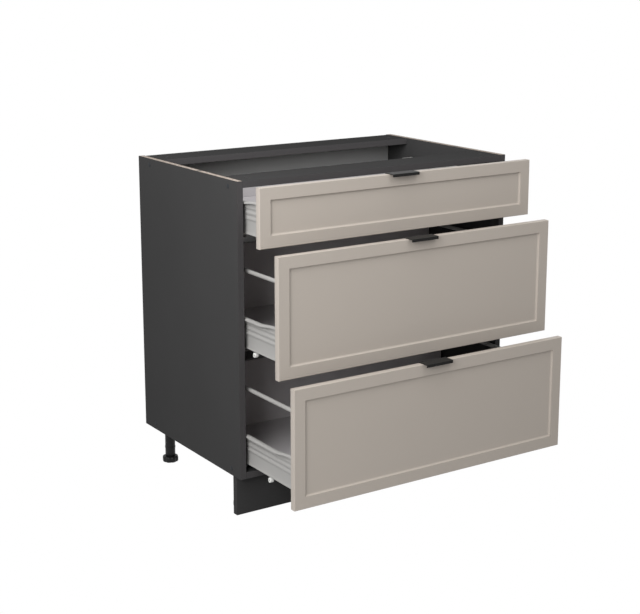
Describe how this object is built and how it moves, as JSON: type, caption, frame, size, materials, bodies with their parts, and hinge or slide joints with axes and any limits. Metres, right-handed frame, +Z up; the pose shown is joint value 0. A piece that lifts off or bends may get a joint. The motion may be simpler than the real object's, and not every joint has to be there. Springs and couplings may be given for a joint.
{
  "type": "base cabinet with drawers",
  "caption": "Floor-standing kitchen base cabinet with framed pull-out drawers on steel side runners, edge-pull handles, adjustable legs and a recessed plinth.",
  "frame": {"origin": "on the floor, under the middle of the bounding box of the cabinet with its drawers as far open as at rest", "axes": "+X to the cabinet's right as seen from the front, +Y towards the wall behind it, +Z up; the drawers open towards -Y"},
  "size_m": [0.8, 0.7508, 0.82],
  "materials": {
    "graphite_board": "matt graphite melamine on chipboard",
    "hardboard_back": "smooth grey hardboard",
    "cashmere_front": "silk-matt beige-grey lacquered front",
    "black_metal": "anodised satin black",
    "black_plastic": "black injection-moulded plastic",
    "grey_steel": "light grey powder coat",
    "zinc_steel": "zinc-plated",
    "grey_board": "light grey melamine on chipboard",
    "white_nylon": "white nylon"
  },
  "bodies": {
    "cabinet": {"side_panel_left": "graphite_board", "side_panel_right": "graphite_board", "bottom_panel": "graphite_board", "top_rail_front": "graphite_board", "top_rail_rear": "graphite_board", "back_panel": "hardboard_back", "plinth": "graphite_board", "leg_front_left": "black_plastic", "leg_front_right": "black_plastic", "leg_rear_left": "black_plastic", "leg_rear_right": "black_plastic", "runner_top_left": "zinc_steel", "runner_top_right": "zinc_steel", "runner_middle_left": "zinc_steel", "runner_middle_right": "zinc_steel", "runner_bottom_left": "zinc_steel", "runner_bottom_right": "zinc_steel"},
    "foot_front_left": {"foot_front_left": "black_plastic"},
    "foot_front_right": {"foot_front_right": "black_plastic"},
    "foot_rear_left": {"foot_rear_left": "black_plastic"},
    "foot_rear_right": {"foot_rear_right": "black_plastic"},
    "drawer_top": {"drawer_front_top": "cashmere_front", "handle_top": "black_metal", "drawer_side_top_left": "grey_steel", "drawer_side_top_right": "grey_steel", "drawer_bottom_top": "grey_board", "drawer_back_top": "grey_board"},
    "runner_roller_top_left": {"runner_roller_top_left": "white_nylon"},
    "rear_roller_top_left": {"rear_roller_top_left": "white_nylon"},
    "runner_roller_top_right": {"runner_roller_top_right": "white_nylon"},
    "rear_roller_top_right": {"rear_roller_top_right": "white_nylon"},
    "drawer_middle": {"drawer_front_middle": "cashmere_front", "handle_middle": "black_metal", "drawer_side_middle_left": "grey_steel", "drawer_side_middle_right": "grey_steel", "drawer_bottom_middle": "grey_board", "drawer_back_middle": "grey_board", "gallery_rail_middle_left": "grey_steel", "gallery_rail_middle_right": "grey_steel"},
    "runner_roller_middle_left": {"runner_roller_middle_left": "white_nylon"},
    "rear_roller_middle_left": {"rear_roller_middle_left": "white_nylon"},
    "guide_roller_middle_left": {"guide_roller_middle_left": "white_nylon"},
    "runner_roller_middle_right": {"runner_roller_middle_right": "white_nylon"},
    "rear_roller_middle_right": {"rear_roller_middle_right": "white_nylon"},
    "guide_roller_middle_right": {"guide_roller_middle_right": "white_nylon"},
    "drawer_bottom": {"drawer_front_bottom": "cashmere_front", "handle_bottom": "black_metal", "drawer_side_bottom_left": "grey_steel", "drawer_side_bottom_right": "grey_steel", "drawer_bottom_bottom": "grey_board", "drawer_back_bottom": "grey_board", "gallery_rail_bottom_left": "grey_steel", "gallery_rail_bottom_right": "grey_steel"},
    "runner_roller_bottom_left": {"runner_roller_bottom_left": "white_nylon"},
    "rear_roller_bottom_left": {"rear_roller_bottom_left": "white_nylon"},
    "guide_roller_bottom_left": {"guide_roller_bottom_left": "white_nylon"},
    "runner_roller_bottom_right": {"runner_roller_bottom_right": "white_nylon"},
    "rear_roller_bottom_right": {"rear_roller_bottom_right": "white_nylon"},
    "guide_roller_bottom_right": {"guide_roller_bottom_right": "white_nylon"}
  },
  "joints": [
    {"name": "foot_front_left_screw", "type": "slide", "parent": "cabinet", "child": "foot_front_left", "axis": [0, 0, -1], "range_m": [0, 0.02]},
    {"name": "foot_front_right_screw", "type": "slide", "parent": "cabinet", "child": "foot_front_right", "axis": [0, 0, -1], "range_m": [0, 0.02]},
    {"name": "foot_rear_left_screw", "type": "slide", "parent": "cabinet", "child": "foot_rear_left", "axis": [0, 0, -1], "range_m": [0, 0.02]},
    {"name": "foot_rear_right_screw", "type": "slide", "parent": "cabinet", "child": "foot_rear_right", "axis": [0, 0, -1], "range_m": [0, 0.02]},
    {"name": "drawer_top_slide", "type": "slide", "parent": "cabinet", "child": "drawer_top", "axis": [0, -1, 0], "range_m": [-0.0778, 0.2722]},
    {"name": "runner_roller_top_left_spin", "type": "hinge", "parent": "cabinet", "child": "runner_roller_top_left", "pos_m": [-0.3553, -0.0726, 0.6877], "axis": [1, 0, 0], "continuous": true},
    {"name": "rear_roller_top_left_spin", "type": "hinge", "parent": "drawer_top", "child": "rear_roller_top_left", "pos_m": [-0.3695, 0.2304, 0.6868], "axis": [1, 0, 0], "continuous": true},
    {"name": "runner_roller_top_right_spin", "type": "hinge", "parent": "cabinet", "child": "runner_roller_top_right", "pos_m": [0.3553, -0.0726, 0.6877], "axis": [1, 0, 0], "continuous": true},
    {"name": "rear_roller_top_right_spin", "type": "hinge", "parent": "drawer_top", "child": "rear_roller_top_right", "pos_m": [0.3695, 0.2304, 0.6868], "axis": [1, 0, 0], "continuous": true},
    {"name": "drawer_middle_slide", "type": "slide", "parent": "cabinet", "child": "drawer_middle", "axis": [0, -1, 0], "range_m": [-0.1552, 0.1948]},
    {"name": "runner_roller_middle_left_spin", "type": "hinge", "parent": "cabinet", "child": "runner_roller_middle_left", "pos_m": [-0.3553, -0.0726, 0.4128], "axis": [1, 0, 0], "continuous": true},
    {"name": "rear_roller_middle_left_spin", "type": "hinge", "parent": "drawer_middle", "child": "rear_roller_middle_left", "pos_m": [-0.3695, 0.153, 0.4119], "axis": [1, 0, 0], "continuous": true},
    {"name": "guide_roller_middle_left_spin", "type": "hinge", "parent": "drawer_middle", "child": "guide_roller_middle_left", "pos_m": [-0.3695, -0.1503, 0.4119], "axis": [1, 0, 0], "continuous": true},
    {"name": "runner_roller_middle_right_spin", "type": "hinge", "parent": "cabinet", "child": "runner_roller_middle_right", "pos_m": [0.3553, -0.0726, 0.4128], "axis": [1, 0, 0], "continuous": true},
    {"name": "rear_roller_middle_right_spin", "type": "hinge", "parent": "drawer_middle", "child": "rear_roller_middle_right", "pos_m": [0.3695, 0.153, 0.4119], "axis": [1, 0, 0], "continuous": true},
    {"name": "guide_roller_middle_right_spin", "type": "hinge", "parent": "drawer_middle", "child": "guide_roller_middle_right", "pos_m": [0.3695, -0.1503, 0.4119], "axis": [1, 0, 0], "continuous": true},
    {"name": "drawer_bottom_slide", "type": "slide", "parent": "cabinet", "child": "drawer_bottom", "axis": [0, -1, 0], "range_m": [-0.2187, 0.1313]},
    {"name": "runner_roller_bottom_left_spin", "type": "hinge", "parent": "cabinet", "child": "runner_roller_bottom_left", "pos_m": [-0.3553, -0.0726, 0.1248], "axis": [1, 0, 0], "continuous": true},
    {"name": "rear_roller_bottom_left_spin", "type": "hinge", "parent": "drawer_bottom", "child": "rear_roller_bottom_left", "pos_m": [-0.3695, 0.0895, 0.1239], "axis": [1, 0, 0], "continuous": true},
    {"name": "guide_roller_bottom_left_spin", "type": "hinge", "parent": "drawer_bottom", "child": "guide_roller_bottom_left", "pos_m": [-0.3695, -0.2138, 0.1239], "axis": [1, 0, 0], "continuous": true},
    {"name": "runner_roller_bottom_right_spin", "type": "hinge", "parent": "cabinet", "child": "runner_roller_bottom_right", "pos_m": [0.3553, -0.0726, 0.1248], "axis": [1, 0, 0], "continuous": true},
    {"name": "rear_roller_bottom_right_spin", "type": "hinge", "parent": "drawer_bottom", "child": "rear_roller_bottom_right", "pos_m": [0.3695, 0.0895, 0.1239], "axis": [1, 0, 0], "continuous": true},
    {"name": "guide_roller_bottom_right_spin", "type": "hinge", "parent": "drawer_bottom", "child": "guide_roller_bottom_right", "pos_m": [0.3695, -0.2138, 0.1239], "axis": [1, 0, 0], "continuous": true}
  ],
  "couplings": [
    {"joint": "runner_roller_top_left_spin", "follows": "drawer_top_slide", "rad_per_m": 142.86},
    {"joint": "rear_roller_top_left_spin", "follows": "drawer_top_slide", "rad_per_m": 166.67},
    {"joint": "runner_roller_top_right_spin", "follows": "drawer_top_slide", "rad_per_m": 142.86},
    {"joint": "rear_roller_top_right_spin", "follows": "drawer_top_slide", "rad_per_m": 166.67},
    {"joint": "runner_roller_middle_left_spin", "follows": "drawer_middle_slide", "rad_per_m": 142.86},
    {"joint": "rear_roller_middle_left_spin", "follows": "drawer_middle_slide", "rad_per_m": 166.67},
    {"joint": "guide_roller_middle_left_spin", "follows": "drawer_middle_slide", "rad_per_m": 166.67},
    {"joint": "runner_roller_middle_right_spin", "follows": "drawer_middle_slide", "rad_per_m": 142.86},
    {"joint": "rear_roller_middle_right_spin", "follows": "drawer_middle_slide", "rad_per_m": 166.67},
    {"joint": "guide_roller_middle_right_spin", "follows": "drawer_middle_slide", "rad_per_m": 166.67},
    {"joint": "runner_roller_bottom_left_spin", "follows": "drawer_bottom_slide", "rad_per_m": 142.86},
    {"joint": "rear_roller_bottom_left_spin", "follows": "drawer_bottom_slide", "rad_per_m": 166.67},
    {"joint": "guide_roller_bottom_left_spin", "follows": "drawer_bottom_slide", "rad_per_m": 166.67},
    {"joint": "runner_roller_bottom_right_spin", "follows": "drawer_bottom_slide", "rad_per_m": 142.86},
    {"joint": "rear_roller_bottom_right_spin", "follows": "drawer_bottom_slide", "rad_per_m": 166.67},
    {"joint": "guide_roller_bottom_right_spin", "follows": "drawer_bottom_slide", "rad_per_m": 166.67}
  ]
}
